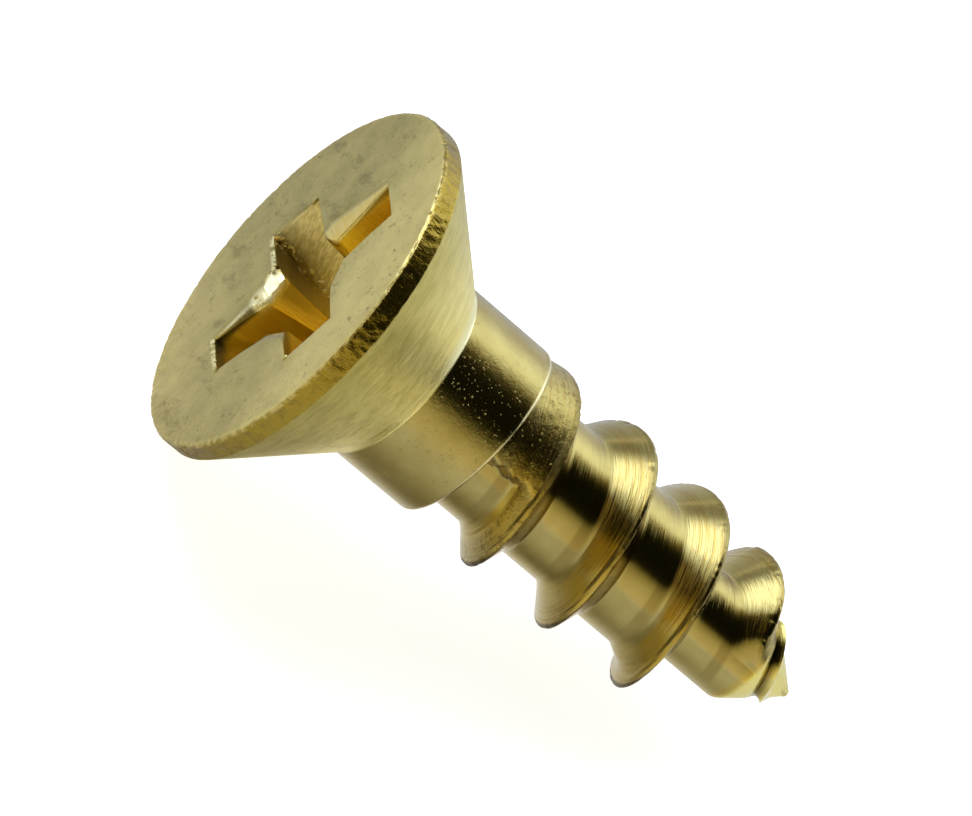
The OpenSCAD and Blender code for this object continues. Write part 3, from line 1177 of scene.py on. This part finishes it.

# %% Colour of the recess and the worn crest
# Painted light: the recess walls and corner flat are painted a much brighter orange than the rest
# of the brass, to brighten the recess.
lit_orange = tree.mix(down_the_wall.step(0.4, 0.65), RECESS_LIT_DARK, RECESS_LIT)
colour = tree.mix(deep_walls, colour, lit_orange)
colour = tree.mix(corner_flat, colour, RECESS_LIT_PALE)
# Painted highlights: the rolled-over edges are painted cream, butter and pale, palest at the root
# end.
rolled_colour = tree.mix(right_roll, CREAM, BUTTER)
rolled_colour = tree.mix(right_roll * depth.step(0.10, 0.24), rolled_colour, RECESS_LIT_PALE)
rolled_colour = tree.mix(root_end, rolled_colour, PALE_HIGHLIGHT)
rolled_colour = tree.mix(drag.step(0.40, 0.60) * 0.3, rolled_colour, CREAM)
colour = tree.mix(rolled_over, colour, rolled_colour)
# Painted shade: a dark olive band under the rolled edge.
colour = tree.mix(shade_under_edge * 0.85, colour, DARK_OLIVE)
dull = tree.mix(scrape_marks.step(0.38, 0.62), SCRAPED_DARK, SCRAPED)
colour = tree.mix(scraped, colour, dull)
# Painted shade: olive on one side of the scraped end and on the wall beside it, most near the
# face.
colour = tree.mix(scraped * wing_q.step(-0.2, 0.5) * depth.step(1.2, 0.5) * 0.6, colour, OLIVE)
colour = tree.mix(scraped_side * (0.2 + depth.step(1.3, 0.5) * 0.5), colour, OLIVE)
# Painted shade: the deep end of a wing's tip is painted darker, towards olive.
colour = tree.mix(tip_end * 0.4, colour, OLIVE)
# Painted highlight: the sheared facet is painted pale too.
colour = tree.mix(sheared, colour, PALE_HIGHLIGHT)
# Painted highlight: a thin pale line where the scraped wall meets the next.
colour = tree.mix(seam * 0.8, colour, RECESS_LIT_PALE)
worn_land = crest_land * grain(helix, 0.35, 3, 0.6, north * 2 + east).step(0.36, 0.52)
colour = tree.mix(worn_land * 0.85, colour, GRIME)
print("recess and crest coloured")

# %% Roughness and bump
# A mark whose height is 1 stands this many millimetres off the surface.
BUMP_MM = 0.006

rough = 0.13 + face * 0.27 + cone * 0.2 + recess * 0.1 + rim * 0.11 + crest_land * 0.12
rough = rough + shank * 0.02 + speckle * 0.06 + scraped * 0.2 + uncut * 0.06
rough = rough + root_end * 0.25 + right_roll * 0.15

height = face * (speckle * 0.5 - dark_pits * 1.5) + cone * (smudges * 2 + fine_round * 0.4)
height = height + shank * (fine_round * 0.8 + pits + specks) + rim * nuggets * 4
height = height + threaded * cutting * (2.0 - low_side * 1.6) + deep_walls * down_the_wall * 1.5
height = height + scraped * scrape_marks * 2.5 + crest_land * pits * 1.5 + seam * 3
height = height + rolled_over * drag * 4 + uncut * (pits * 2 + specks)
bump = tree.node(
    "ShaderNodeBump", sockets={"Strength": 1, "Distance": BUMP_MM * MM, "Height": height}
)
print("roughness and bump wired")

# %% Brass on the screw
shader = tree.node(
    "ShaderNodeBsdfPrincipled",
    sockets={"Base Color": colour, "Metallic": 1, "Roughness": rough, "Normal": bump},
)
tree.node("ShaderNodeOutputMaterial", sockets={"Surface": shader})
screw.data.materials.clear()
screw.data.materials.append(brass)
print("brass has", len(tree.tree.nodes), "nodes")

bpy.context.scene.view_settings.view_transform = "Standard"
